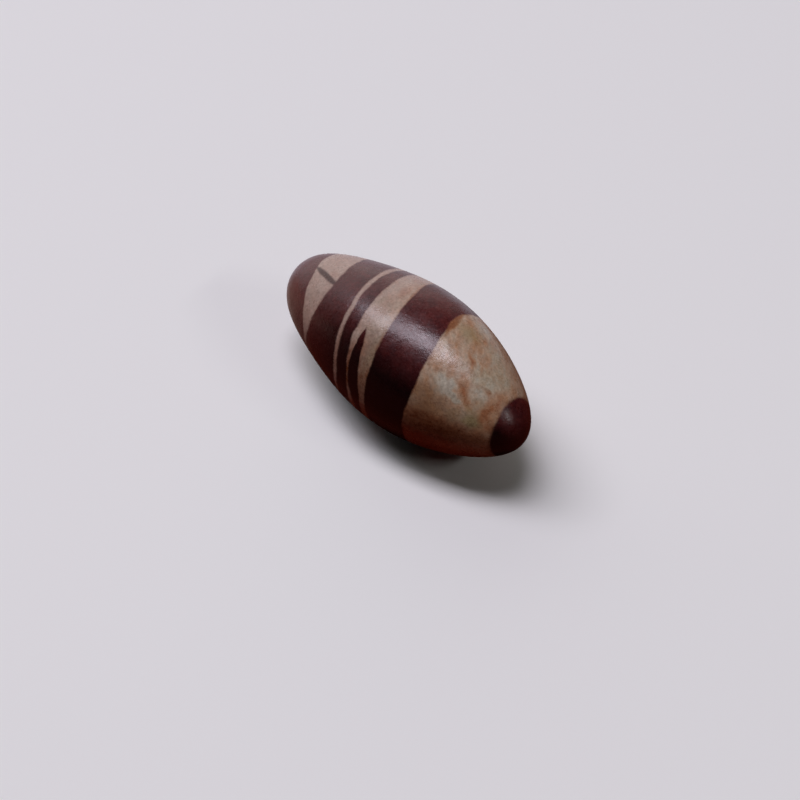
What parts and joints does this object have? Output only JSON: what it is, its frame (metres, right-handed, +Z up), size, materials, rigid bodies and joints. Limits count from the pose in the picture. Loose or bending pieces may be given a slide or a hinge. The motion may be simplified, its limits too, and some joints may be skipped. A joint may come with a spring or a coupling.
{
  "type": "shiva lingam stone",
  "caption": "Smooth egg-shaped banded jasper stone, tan and maroon, that lies on its side on a small worn flat spot.",
  "frame": {"origin": "on the worn flat spot underneath, in the plane that the stone rests on, under the middle of the stone's box", "axes": "+X along the stone towards its narrower end, +Z up from the surface that it rests on"},
  "size_m": [0.078, 0.036, 0.0352],
  "materials": {
    "jasper": "hand-rubbed satin polish on tan jasper with maroon bands"
  },
  "bodies": {
    "root": {"stone": "jasper"}
  },
  "joints": []
}
